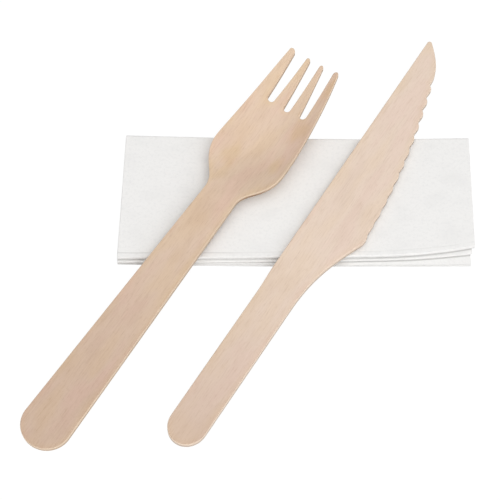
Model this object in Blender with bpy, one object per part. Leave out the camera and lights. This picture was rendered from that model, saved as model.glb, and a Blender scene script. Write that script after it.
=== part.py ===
"""A wooden fork and a wooden knife laid on a folded paper napkin.

Both pieces of cutlery are stamped from birch veneer. The knife stays flat, and the fork's head is
pressed into a dish. The napkin is folded in thirds and then halved three times, so its section
shows eight layers, each of them three sheets thick.

The frame has +X along the napkin's long side, +Y away from the handles and +Z up. Its origin lies
on the table under the middle of the napkin. Lengths are in metres.
"""

import math

import bmesh
import bpy
from mathutils import Vector
from mathutils.geometry import interpolate_bezier

MM = 0.001
WELD = 0.001 * MM

# Veneer
VENEER = 2.0 * MM
EASED_EDGE = 0.25 * MM
REST_GAP = 0.3 * MM

# Napkin
NAPKIN_LENGTH = 110.0 * MM
NAPKIN_DEPTH = 45.5 * MM
LAYER_THICKNESS = 0.32 * MM
LAYER_GAP = 0.06 * MM
LAYER_ORDER = (0, 7, 4, 3, 2, 5, 6, 1)  # the layers that one strip runs through, 0 at the bottom
NAPKIN_SLIP = 0.7 * MM  # how far the top layer has slid along X from the bottom one
EDGE_BOW = 1.4 * MM  # how far the free edges bend back towards the right-hand end
EDGE_BOW_START = 0.32  # the share of the length where they stand out most
FREE_EDGE_STEP = 0.25 * MM
SECOND_FOLD_SETBACK = 0.2 * MM
SECOND_FOLD_SKEW = 2.3 * MM  # extra setback at the right-hand end, as the folds lie out of square
TOP_FOLD_SETBACK = 0.75 * MM
TOP_FOLD_SKEW = 1.7 * MM
TOP_FOLD_CURL = 1.5 * MM  # how far it curls back further at the right-hand end
TOP_FOLD_CURL_START = 0.72  # the share of the length where that starts
TOP_FOLD_CURL_POWER = 1.5

# Fork: lengths along it, and half widths from its middle line
FORK_CAP = 7.6 * MM
FORK_END_HALF = 7.9 * MM
FORK_HANDLE = 97.0 * MM
FORK_NECK_HALF = 5.72 * MM
FORK_HEAD = 54.6 * MM  # from the neck to the inner tines' tips
FORK_FLARE = 16.7 * MM  # from the neck to the head's widest place
FORK_HEAD_HALF = 12.95 * MM
SLOT_LENGTH = 17.8 * MM
SLOT_RADIUS = 1.15 * MM
SLOT_SPACING = 6.1 * MM
INNER_TIP_MIDDLE = 2.5 * MM
INNER_TIP_RADIUS = 0.7 * MM
OUTER_TIP_SETBACK = 0.3 * MM  # how much shorter the outer tines are
OUTER_TIP_SPREAD = 2.15 * MM  # from a side slot's middle line to the outer tine's tip
OUTER_TIP_RADIUS = 0.95 * MM

# Fork: how soon its side curves turn, as shares of their runs, and the slope at the outer tip
NECK_REACH = 0.36
SHOULDER_REACH = 0.53
HEAD_SIDE_REACH = 0.16
OUTER_TIP_REACH = 0.27
OUTER_TIP_SLOPE = -0.19

# Fork: the form that the press gives its head
DIP_LEAD = 1.0 * MM  # how far before the neck's end the dip starts
DIP_RUN = 20.4 * MM
DIP_DEPTH = 3.9 * MM
TINE_RISE = 7.45 * MM
CUP_DEPTH = 4.4 * MM
PRESS_STEP = 2.5 * MM

# Knife: lengths along it that follow each other, and half widths from the handle's middle line
KNIFE_CAP = 6.5 * MM
KNIFE_HANDLE = 53.5 * MM
KNIFE_HANDLE_HALF = 5.9 * MM
KNIFE_SWELL = 30.5 * MM  # from the handle to the heel
HEEL_HALF = 12.75 * MM
HEEL_ROUND = 4.7 * MM  # from the heel to the first notch
HEEL_ROUND_RISE = 0.2 * MM
TOOTHED_LENGTH = 58.6 * MM
LAST_NOTCH_HALF = 2.1 * MM
BELLY_LENGTH = 14.9 * MM  # from the last notch to the tip
TIP_RADIUS = 0.8 * MM
TIP_TURN = 42  # degrees below the axis where the tip's round leaves the belly
TIP_SPINE_HALF = 6.7 * MM
SPINE_HALF = 6.25 * MM
WAIST_LENGTH = 10.7 * MM  # from the handle to the spine's straight run

# Knife: how soon its curves turn, as shares of their runs, and the slopes where they end
GRIP_REACH = 0.41
HEEL_REACH = 0.36
HEEL_SLOPE = -0.42
HEEL_ROUND_REACH = 0.25
WAIST_REACH = 0.4
BELLY_START_REACH = 0.36
BELLY_START_SLOPE = -0.06
BELLY_END_REACH = 0.3
BELLY_END_SLOPE = 0.93

# Knife: its teeth
TOOTH_PITCH = 4.9 * MM
FIRST_TOOTH_DEPTH = 0.2 * MM
LAST_TOOTH_DEPTH = 0.8 * MM
TOOTH_LEAN = 0.63  # the crest's place from one notch to the next
EDGE_SLOPE_AT_HEEL = 0.05
EDGE_SLOPE_AT_BELLY = 0.285

# Where the fork's dish and the knife's heel lie on the napkin, and how far each piece is turned
FORK_SEAT_ALONG = -13.38 * MM
FORK_SEAT_INSET = 8.37 * MM  # from the napkin's rear edge
FORK_TURN = math.radians(56.6)
KNIFE_SEAT_ALONG = 8.57 * MM
KNIFE_SEAT_INSET = 11.72 * MM  # from the napkin's front edge
KNIFE_TURN = math.radians(58.6)

# How finely round stretches are stepped
CAP_STEPS = 20
CURVE_STEPS = 9
ROUND_STEPS = 6
TOOTH_STEPS = 6
NAPKIN_STATIONS = 13
PITCH_STEPS = 400

BIRCH_FORK = (0.665, 0.485, 0.365, 1.0)
BIRCH_KNIFE = (0.760, 0.590, 0.470, 1.0)
TISSUE = (0.86, 0.85, 0.84, 1.0)

FORK_LENGTH = FORK_HANDLE + FORK_HEAD
DIP_START = FORK_HANDLE - DIP_LEAD
DIP_BOTTOM = DIP_START + DIP_RUN
LAYERS = len(LAYER_ORDER)
LAYER_PITCH = LAYER_THICKNESS + LAYER_GAP
REST_HEIGHT = LAYERS * LAYER_PITCH - LAYER_GAP + REST_GAP


def clear_scene():
    for item in list(bpy.data.objects):
        bpy.data.objects.remove(item, do_unlink=True)


def material(name, colour, roughness):
    made = bpy.data.materials.new(name)
    made.use_nodes = True
    shader = made.node_tree.nodes["Principled BSDF"]
    shader.inputs["Base Color"].default_value = colour
    shader.inputs["Roughness"].default_value = roughness
    shader.inputs["Metallic"].default_value = 0.0
    return made


def add_object(name, mesh, collection, finish):
    made = bpy.data.objects.new(name, mesh)
    collection.objects.link(made)
    mesh.materials.clear()
    mesh.materials.append(finish)
    mesh.shade_smooth()
    mesh.set_sharp_from_angle(angle=math.radians(30))
    return made


def ease(x):
    """Smooth step from 0 to 1."""
    x = min(max(x, 0.0), 1.0)
    return x * x * (3 - 2 * x)


def oval(centre, along, across, start, end, steps):
    """Points of an elliptical arc, with its angles in degrees from the first axis."""
    turns = [math.radians(start + (end - start) * i / steps) for i in range(steps + 1)]
    return [centre + Vector((along * math.cos(a), across * math.sin(a))) for a in turns]


def arc(centre, radius, start, end, steps=ROUND_STEPS):
    return oval(centre, radius, radius, start, end, steps)


def reach(length, slope=0.0):
    """A curve's handle: so far along the axis, and across it by the slope."""
    return length * Vector((1, slope))


def bend(start, leaving, arriving, end, steps=CURVE_STEPS):
    """Points of a cubic curve without its first one; the handles are given from its ends."""
    points = interpolate_bezier(start, start + leaving, end - arriving, end, steps + 1)
    return [point.to_2d() for point in points[1:]]


def mirrored(half):
    """A closed outline from the half that lies at +Y and starts and ends on the X axis."""
    return half + [Vector((p.x, -p.y)) for p in reversed(half[1:-1])]


def stamped(name, outline):
    """A flat veneer blank with eased edges, its underside on the XY plane."""
    curve = bpy.data.curves.new(name, "CURVE")
    curve.dimensions = "2D"
    curve.fill_mode = "BOTH"
    curve.extrude = VENEER / 2 - EASED_EDGE
    curve.bevel_depth = EASED_EDGE
    curve.bevel_resolution = 0
    curve.offset = -EASED_EDGE
    spline = curve.splines.new("POLY")
    spline.points.add(len(outline) - 1)
    for point, place in zip(spline.points, outline):
        point.co = (place.x, place.y, 0.0, 1.0)
    spline.use_cyclic_u = True
    guide = bpy.data.objects.new(name + "_outline", curve)
    bpy.context.scene.collection.objects.link(guide)
    evaluated = guide.evaluated_get(bpy.context.evaluated_depsgraph_get())
    mesh = bpy.data.meshes.new_from_object(evaluated)
    mesh.name = name
    bpy.data.objects.remove(guide, do_unlink=True)
    blank = bmesh.new()
    blank.from_mesh(mesh)
    bmesh.ops.remove_doubles(blank, verts=blank.verts, dist=WELD)
    bmesh.ops.translate(blank, verts=blank.verts, vec=(0, 0, VENEER / 2))
    bmesh.ops.recalc_face_normals(blank, faces=blank.faces)
    blank.to_mesh(mesh)
    blank.free()
    return mesh


def fork_outline():
    cap = oval(Vector((FORK_CAP, 0)), FORK_CAP, FORK_END_HALF, 180, 90, CAP_STEPS // 2)
    neck = Vector((FORK_HANDLE, FORK_NECK_HALF))
    widest = Vector((FORK_HANDLE + FORK_FLARE, FORK_HEAD_HALF))
    shoulder = bend(neck, reach(NECK_REACH * FORK_FLARE), reach(SHOULDER_REACH * FORK_FLARE), widest)
    outer_end = FORK_LENGTH - OUTER_TIP_SETBACK - OUTER_TIP_RADIUS
    outer_tip = arc(Vector((outer_end, SLOT_SPACING + OUTER_TIP_SPREAD)), OUTER_TIP_RADIUS, 90, -90)
    run = outer_end - widest.x
    arriving = reach(OUTER_TIP_REACH * run, OUTER_TIP_SLOPE)
    side = bend(widest, reach(HEAD_SIDE_REACH * run), arriving, outer_tip[0])
    slot_end = FORK_LENGTH - SLOT_LENGTH + SLOT_RADIUS
    side_slot = arc(Vector((slot_end, SLOT_SPACING)), SLOT_RADIUS, 90, 270)
    inner_tip = arc(Vector((FORK_LENGTH - INNER_TIP_RADIUS, INNER_TIP_MIDDLE)), INNER_TIP_RADIUS, 90, -90)
    middle_slot = arc(Vector((slot_end, 0)), SLOT_RADIUS, 90, 180, ROUND_STEPS // 2)
    return mirrored(cap + [neck] + shoulder + side + outer_tip[1:] + side_slot + inner_tip + middle_slot)


def pressed_lift(along, across):
    """How far the press moves a point of the flat fork up."""
    into = ease((along - DIP_START) / DIP_RUN)
    up = max(0.0, (along - DIP_BOTTOM) / (FORK_LENGTH - DIP_BOTTOM))
    cup = CUP_DEPTH * into * (across / FORK_HEAD_HALF) ** 2
    return TINE_RISE * up**2 - DIP_DEPTH * into + cup


def press(mesh):
    """Cuts the head's faces into a fine net, then moves its points to the dish."""
    head = bmesh.new()
    head.from_mesh(mesh)
    bmesh.ops.triangulate(head, faces=head.faces)
    rows = math.ceil((FORK_LENGTH - DIP_START) / PRESS_STEP)
    cuts = [(Vector((DIP_START + PRESS_STEP * i, 0, 0)), Vector((1, 0, 0))) for i in range(rows)]
    columns = math.floor(FORK_HEAD_HALF / PRESS_STEP)
    for i in range(-columns, columns + 1):
        cuts.append((Vector((0, PRESS_STEP * i, 0)), Vector((0, 1, 0))))
    for place, normal in cuts:
        everything = head.verts[:] + head.edges[:] + head.faces[:]
        bmesh.ops.bisect_plane(head, geom=everything, dist=WELD, plane_co=place, plane_no=normal)
    for point in head.verts:
        point.co.z += pressed_lift(point.co.x, point.co.y)
    bmesh.ops.triangulate(head, faces=head.faces)
    head.to_mesh(mesh)
    head.free()


def fork_pitch():
    """The handle's slope when the dish rests on the napkin and the handle's end on the table."""
    places = [DIP_START + (FORK_LENGTH - DIP_START) * i / PITCH_STEPS for i in range(PITCH_STEPS + 1)]
    pitch = 0.0
    for _ in range(8):
        pitch = math.asin(max((REST_HEIGHT - pressed_lift(x, 0) * math.cos(pitch)) / x for x in places))
    return pitch


def heading(turn):
    return Vector((math.cos(turn), math.sin(turn), 0))


def build_fork(collection, finish):
    mesh = stamped("fork", fork_outline())
    press(mesh)
    fork = add_object("fork", mesh, collection, finish)
    pitch = fork_pitch()
    seat = Vector((FORK_SEAT_ALONG, NAPKIN_DEPTH / 2 - FORK_SEAT_INSET, 0))
    fork.location = seat - DIP_BOTTOM * math.cos(pitch) * heading(FORK_TURN)
    fork.rotation_euler = (0, -pitch, FORK_TURN)


def tooth_wave(share):
    """A leaning wave, 0 at both notches and 1 at the crest."""
    if share < TOOTH_LEAN:
        turn = share / (2 * TOOTH_LEAN)
    else:
        turn = 0.5 + (share - TOOTH_LEAN) / (2 - 2 * TOOTH_LEAN)
    return 0.5 - 0.5 * math.cos(2 * math.pi * turn)


def toothed_edge(first, last):
    """The knife's cutting edge after its first notch, up to its last."""
    steps = TOOTH_STEPS * round(TOOTHED_LENGTH / TOOTH_PITCH)
    leaving = reach(TOOTHED_LENGTH / 3, EDGE_SLOPE_AT_HEEL)
    line = [first] + bend(first, leaving, reach(TOOTHED_LENGTH / 3, EDGE_SLOPE_AT_BELLY), last, steps)
    points = []
    for i in range(1, steps):
        along = line[i + 1] - line[i - 1]
        outward = Vector((along.y, -along.x)).normalized()
        depth = FIRST_TOOTH_DEPTH + (LAST_TOOTH_DEPTH - FIRST_TOOTH_DEPTH) * i / steps
        points.append(line[i] + depth * tooth_wave(i % TOOTH_STEPS / TOOTH_STEPS) * outward)
    return points + [last]


def knife_outline():
    handle_end = oval(Vector((KNIFE_CAP, 0)), KNIFE_CAP, KNIFE_HANDLE_HALF, 90, 270, CAP_STEPS)
    grip = Vector((KNIFE_HANDLE, -KNIFE_HANDLE_HALF))
    heel = Vector((KNIFE_HANDLE + KNIFE_SWELL, -HEEL_HALF))
    swell = bend(grip, reach(GRIP_REACH * KNIFE_SWELL), reach(HEEL_REACH * KNIFE_SWELL, HEEL_SLOPE), heel)
    first = heel + Vector((HEEL_ROUND, HEEL_ROUND_RISE))
    round_reach = HEEL_ROUND_REACH * HEEL_ROUND
    arriving = reach(2 * round_reach, -HEEL_SLOPE)
    heel_round = bend(heel, reach(round_reach, HEEL_SLOPE), arriving, first, ROUND_STEPS)
    last = Vector((first.x + TOOTHED_LENGTH, -LAST_NOTCH_HALF))
    tip = Vector((last.x + BELLY_LENGTH - TIP_RADIUS, TIP_SPINE_HALF - TIP_RADIUS))
    tip_round = arc(tip, TIP_RADIUS, -TIP_TURN, 90)
    leaving = reach(BELLY_START_REACH * BELLY_LENGTH, BELLY_START_SLOPE)
    belly = bend(last, leaving, reach(BELLY_END_REACH * BELLY_LENGTH, BELLY_END_SLOPE), tip_round[0])
    spine = Vector((KNIFE_HANDLE + WAIST_LENGTH, SPINE_HALF))
    waist_reach = reach(-WAIST_REACH * WAIST_LENGTH)
    waist = bend(spine, waist_reach, waist_reach, Vector((KNIFE_HANDLE, KNIFE_HANDLE_HALF)))
    edge = handle_end + [grip] + swell + heel_round + toothed_edge(first, last)
    return edge + belly + tip_round[1:] + [spine] + waist


def build_knife(collection, finish):
    mesh = stamped("knife", knife_outline())
    knife = add_object("knife", mesh, collection, finish)
    seat = Vector((KNIFE_SEAT_ALONG, KNIFE_SEAT_INSET - NAPKIN_DEPTH / 2, REST_HEIGHT))
    knife.location = seat - (KNIFE_HANDLE + KNIFE_SWELL) * heading(KNIFE_TURN)
    knife.rotation_euler = (0, 0, KNIFE_TURN)


def front_lines(share):
    """Where the free edges, the second fold and the top fold end, at a share of the length."""
    bow = EDGE_BOW * ((share - EDGE_BOW_START) / (1 - EDGE_BOW_START)) ** 2
    free = bow - NAPKIN_DEPTH / 2
    second = free + SECOND_FOLD_SETBACK + SECOND_FOLD_SKEW * share
    curled = max(0.0, (share - TOP_FOLD_CURL_START) / (1 - TOP_FOLD_CURL_START)) ** TOP_FOLD_CURL_POWER
    return free, second, free + TOP_FOLD_SETBACK + TOP_FOLD_SKEW * share + TOP_FOLD_CURL * curled


def layer_height(layer):
    """The height of a layer's middle; a half number lies between two layers."""
    return LAYER_THICKNESS / 2 + layer * LAYER_PITCH


def folded_section(share):
    """The closed outline in Y and Z of one strip that runs through all the layers."""
    free, second, top = front_lines(share)
    path = [Vector((free, layer_height(0)))]
    for i, (here, there) in enumerate(zip(LAYER_ORDER, LAYER_ORDER[1:])):
        between = (here + there) / 2
        if i % 2 == 0:
            place = NAPKIN_DEPTH / 2 - layer_height((LAYERS - 1) / 2)
            start, end = (-90, 90) if there > here else (90, -90)
        else:
            line, outermost = (top, 1.5) if between > LAYERS / 2 else (second, 0.5)
            place = line + layer_height(outermost)
            start, end = (270, 90) if there > here else (90, 270)
        path += arc(Vector((place, layer_height(between))), abs(there - between) * LAYER_PITCH, start, end)
    path.append(Vector((free + FREE_EDGE_STEP, layer_height(LAYER_ORDER[-1]))))
    near, far = [], []
    for before, place, after in zip(path[:1] + path, path, path[1:] + path[-1:]):
        run = (after - before).normalized() * LAYER_THICKNESS / 2
        near.append(place + Vector((run.y, -run.x)))
        far.append(place - Vector((run.y, -run.x)))
    return near + far[::-1]


def build_napkin(collection, finish):
    cloth = bmesh.new()
    rings = []
    for station in range(NAPKIN_STATIONS):
        share = station / (NAPKIN_STATIONS - 1)
        x = (share - 0.5) * (NAPKIN_LENGTH - NAPKIN_SLIP)
        ring = []
        for place in folded_section(share):
            slid = NAPKIN_SLIP * (place.y / layer_height(LAYERS - 1) - 0.5)
            ring.append(cloth.verts.new((x + slid, place.x, place.y)))
        rings.append(ring)
    for ring, following in zip(rings, rings[1:]):
        for i in range(len(ring)):
            cloth.faces.new((ring[i - 1], ring[i], following[i], following[i - 1]))
    ends = [cloth.faces.new(rings[0]), cloth.faces.new(rings[-1])]
    bmesh.ops.triangulate(cloth, faces=ends)
    bmesh.ops.recalc_face_normals(cloth, faces=cloth.faces)
    mesh = bpy.data.meshes.new("napkin")
    cloth.to_mesh(mesh)
    cloth.free()
    add_object("napkin", mesh, collection, finish)


def main():
    clear_scene()
    collection = bpy.data.collections.new("wooden_cutlery_and_napkin")
    bpy.context.scene.collection.children.link(collection)
    build_napkin(collection, material("napkin_paper", TISSUE, 0.95))
    build_knife(collection, material("knife_wood", BIRCH_KNIFE, 0.6))
    build_fork(collection, material("fork_wood", BIRCH_FORK, 0.6))


main()
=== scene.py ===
"""Dresses a wooden fork, a wooden knife and a folded paper napkin, and lights them for a picture.

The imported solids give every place. The fork and the knife are made again with fine curves, rounded
cut edges and birch grain, and the napkin as the one sheet of tissue that is folded twenty-four thick.
Lengths are in metres, +X runs along the napkin, +Y away from the handles and +Z up.
"""

import logging
import math
from dataclasses import dataclass, field
from enum import Enum
from typing import Mapping, Optional, Sequence, Union

import bpy
import numpy as np
from mathutils import Matrix, Vector, noise
from mathutils.geometry import delaunay_2d_cdt, interpolate_bezier


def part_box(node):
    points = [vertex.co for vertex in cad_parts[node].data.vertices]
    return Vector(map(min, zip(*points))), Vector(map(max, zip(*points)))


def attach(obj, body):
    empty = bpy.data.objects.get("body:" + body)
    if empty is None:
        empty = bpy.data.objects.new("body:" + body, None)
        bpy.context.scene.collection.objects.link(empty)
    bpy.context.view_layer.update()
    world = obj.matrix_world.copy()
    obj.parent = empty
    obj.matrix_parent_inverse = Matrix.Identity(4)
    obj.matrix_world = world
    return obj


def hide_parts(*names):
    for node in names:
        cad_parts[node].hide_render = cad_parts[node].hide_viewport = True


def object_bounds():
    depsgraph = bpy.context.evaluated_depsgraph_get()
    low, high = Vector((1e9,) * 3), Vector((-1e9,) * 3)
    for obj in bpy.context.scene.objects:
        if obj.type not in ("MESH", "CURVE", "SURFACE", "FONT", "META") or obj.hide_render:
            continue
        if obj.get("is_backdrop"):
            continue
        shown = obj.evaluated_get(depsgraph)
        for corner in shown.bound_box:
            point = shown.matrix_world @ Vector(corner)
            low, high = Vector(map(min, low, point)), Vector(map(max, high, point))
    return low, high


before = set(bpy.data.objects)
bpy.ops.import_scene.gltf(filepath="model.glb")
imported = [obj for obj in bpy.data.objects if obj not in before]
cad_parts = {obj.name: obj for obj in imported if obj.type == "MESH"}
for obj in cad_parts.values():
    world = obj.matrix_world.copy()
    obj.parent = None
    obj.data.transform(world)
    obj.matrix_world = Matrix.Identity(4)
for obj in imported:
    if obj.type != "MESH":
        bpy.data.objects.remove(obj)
CAD_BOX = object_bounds()

MM = 0.001
PICTURE_WIDTH = 500  # pixels
WHITE = (1.0, 1.0, 1.0)
INSIDE_ONLY = 1  # the net's triangles inside the outline
NET_TOLERANCE = 1e-6  # millimetres

log = logging.getLogger("place_setting")

Colour = tuple[float, float, float]
Span = tuple[float, float]
Value = Union["Signal", float, Sequence[float]]


class Node(Enum):
    """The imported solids."""

    FORK = "fork"
    KNIFE = "knife"
    NAPKIN = "napkin"


class Slot(Enum):
    """The record's material slots."""

    FORK_WOOD = "fork_wood"
    KNIFE_WOOD = "knife_wood"
    NAPKIN_PAPER = "napkin_paper"


class Attribute(Enum):
    """What the meshes tell their materials, point by point."""

    OWN_PLACE = "own_place"
    CUT = "cut_edge"
    LEVEL = "level"
    INSIDE = "from_edge"
    BEHIND_TOP = "behind_top_fold"
    BEHIND_SECOND = "behind_second_fold"
    OPENED = "opened"
    TUCKED = "tucked_under"


def ease(x: float) -> float:
    """Returns a smooth step from 0 to 1."""
    x = min(max(x, 0.0), 1.0)
    return x * x * (3 - 2 * x)


def oval(centre: Vector, along: float, across: float, start: float, end: float, steps: int) -> list[Vector]:
    """Lays points along an elliptical arc.

    Args:
        centre: Middle of the ellipse.
        along: Its half size along X.
        across: Its half size along Y.
        start: First angle, in degrees from +X.
        end: Last angle, in degrees.
        steps: Number of runs between the points.

    Returns:
        The points, with both ends.
    """
    turns = [math.radians(start + (end - start) * i / steps) for i in range(steps + 1)]
    return [centre + Vector((along * math.cos(a), across * math.sin(a))) for a in turns]


def arc(centre: Vector, radius: float, start: float, end: float, steps: int) -> list[Vector]:
    """Lays points along a circular arc, with its angles in degrees."""
    return oval(centre, radius, radius, start, end, steps)


def reach(length: float, slope: float = 0.0) -> Vector:
    """Returns a curve's handle: so far along the axis, and across it by the slope."""
    return length * Vector((1, slope))


def bend(start: Vector, leaving: Vector, arriving: Vector, end: Vector, steps: int) -> list[Vector]:
    """Lays points along a cubic curve, without its first one.

    Args:
        start: Where the curve starts.
        leaving: Its handle from the start.
        arriving: Its handle before the end, pointing forwards.
        end: Where the curve ends.
        steps: Number of points.

    Returns:
        The points after the start, up to the end.
    """
    points = interpolate_bezier(start, start + leaving, end - arriving, end, steps + 1)
    return [point.to_2d() for point in points[1:]]


def mirrored(half: list[Vector]) -> list[Vector]:
    """Closes an outline from the half that lies at +Y and starts and ends on the X axis."""
    return half + [Vector((p.x, -p.y)) for p in reversed(half[1:-1])]


def heading(turn: float) -> Vector:
    """Returns the level direction that lies a turn away from +X."""
    return Vector((math.cos(turn), math.sin(turn), 0))


@dataclass(frozen=True)
class Signal:
    """One socket's value in a material, so that shader maths reads as Python."""

    board: "Board"
    socket: bpy.types.NodeSocket

    def _maths(self, operation: str, first: Value, second: Value) -> "Signal":
        """Adds a Math node."""
        return self.board.node("Math", {"operation": operation}, {0: first, 1: second})

    def __add__(self, other: Value) -> "Signal":
        """Returns the sum."""
        return self._maths("ADD", self, other)

    def __radd__(self, other: Value) -> "Signal":
        """Returns the sum."""
        return self._maths("ADD", other, self)

    def __sub__(self, other: Value) -> "Signal":
        """Returns the difference."""
        return self._maths("SUBTRACT", self, other)

    def __rsub__(self, other: Value) -> "Signal":
        """Returns the difference from a number."""
        return self._maths("SUBTRACT", other, self)

    def __mul__(self, other: Value) -> "Signal":
        """Returns the product."""
        return self._maths("MULTIPLY", self, other)

    def __rmul__(self, other: Value) -> "Signal":
        """Returns the product."""
        return self._maths("MULTIPLY", other, self)

    def within(self, low: float, high: float) -> "Signal":
        """Eases from 0 at one value to 1 at another, which may be the smaller one.

        Args:
            low: Value that gives 0.
            high: Value that gives 1.

        Returns:
            The eased share.
        """
        sockets = {"Value": self, "From Min": low, "From Max": high}
        return self.board.node("MapRange", {"interpolation_type": "SMOOTHSTEP"}, sockets)

    def mixed(self, other: Value, share: Value, blend: str = "MIX") -> "Signal":
        """Mixes this colour with another.

        Args:
            other: The colour at a share of 1.
            share: How much of it there is.
            blend: The way they mix.

        Returns:
            The mixed colour.
        """
        sockets = {"Factor_Float": share, "A_Color": self, "B_Color": other}
        settings = {"data_type": "RGBA", "blend_type": blend}
        return self.board.node("Mix", settings, sockets, "Result_Color")

    def tinted(self, tint: Value, share: Value) -> "Signal":
        """Multiplies this colour with a share of a tint."""
        return self.mixed(tint, share, "MULTIPLY")


@dataclass(frozen=True)
class Cloud:
    """Soft noise for a material."""

    size: tuple[float, float, float]  # of a patch, along X, Y and Z
    detail: float  # how many finer octaves it has
    roughness: float = 0.5  # how strong they are
    offset: float = 0.0  # a shift along X that gives another pattern


@dataclass(frozen=True)
class Board:
    """The node tree of one material or world."""

    tree: bpy.types.NodeTree

    def node(
        self,
        kind: str,
        settings: Optional[Mapping[str, object]] = None,
        sockets: Optional[Mapping[object, Value]] = None,
        output: Union[str, int] = 0,
    ) -> Signal:
        """Adds a node of any type.

        Args:
            kind: Its type, without the usual first word.
            settings: Its own settings, which are set first.
            sockets: The values or links of its inputs, by name, identifier or place.
            output: Name, identifier or place of the output to return.

        Returns:
            The chosen output.
        """
        made = self.tree.nodes.new("ShaderNode" + kind)
        for name, setting in (settings or {}).items():
            setattr(made, name, setting)
        for key, value in (sockets or {}).items():
            self.feed(self._socket(made.inputs, key), value)
        return Signal(self, self._socket(made.outputs, output))

    @staticmethod
    def _socket(sockets: bpy.types.bpy_prop_collection, key: Union[str, int]) -> bpy.types.NodeSocket:
        """Finds a socket by its place, its identifier or its name."""
        if isinstance(key, int):
            return sockets[key]
        by_identifier = [socket for socket in sockets if socket.identifier == key]
        return by_identifier[0] if by_identifier else sockets[key]

    def feed(self, socket: bpy.types.NodeSocket, value: Value) -> None:
        """Links a signal to a socket, or sets a constant on it.

        Args:
            socket: The input.
            value: A signal, a number, or the numbers of a colour or vector.
        """
        if isinstance(value, Signal):
            self.tree.links.new(value.socket, socket)
        elif isinstance(value, (int, float)):
            socket.default_value = value
        else:
            numbers = tuple(value)
            needed = len(socket.default_value)
            socket.default_value = numbers + (1.0,) * (needed - len(numbers))

    def colour(self, value: Colour) -> Signal:
        """Starts a chain of colour mixes from a constant colour."""
        sockets = {"Factor_Float": 0.0, "A_Color": value, "B_Color": value}
        return self.node("Mix", {"data_type": "RGBA"}, sockets, "Result_Color")

    def place(self) -> Signal:
        """Returns the point's place in the flat blank or the unfolded sheet."""
        return self.node("Attribute", {"attribute_name": Attribute.OWN_PLACE.value}, output="Vector")

    def attribute(self, name: Attribute) -> Signal:
        """Returns a number that the mesh holds for each point."""
        return self.node("Attribute", {"attribute_name": name.value}, output="Fac")

    def vector(self, operation: str, first: Value, second: Value) -> Signal:
        """Adds a Vector Math node."""
        return self.node("VectorMath", {"operation": operation}, {0: first, 1: second})

    def cloud(self, cloud: Cloud, pattern: float = 0.0) -> Signal:
        """Makes soft noise.

        Args:
            cloud: The noise's size and detail.
            pattern: The piece's own shift along X, on top of the noise's.

        Returns:
            The noise, around one half.
        """
        scale = [1 / length for length in cloud.size]
        shifted = self.vector("ADD", self.place(), (pattern + cloud.offset, 0.0, 0.0))
        stretched = self.vector("MULTIPLY", shifted, scale)
        sockets = {"Vector": stretched, "Scale": 1.0, "Detail": cloud.detail, "Roughness": cloud.roughness}
        return self.node("TexNoise", sockets=sockets, output="Fac")


def new_material(name: str) -> tuple[bpy.types.Material, Board, bpy.types.Node]:
    """Makes a material with a Principled shader.

    Args:
        name: Its name.

    Returns:
        The material, the board for its nodes, and its shader.
    """
    made = bpy.data.materials.new(name)
    made.use_nodes = True
    return made, Board(made.node_tree), made.node_tree.nodes["Principled BSDF"]


@dataclass(frozen=True)
class Patch:
    """A soft patch of colour in the piece's own axes: some are stains in the wood, some painted light and some
    painted shade.
    """

    tint: Colour
    along: float
    across: float
    length: float
    width: float
    strength: float


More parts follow.
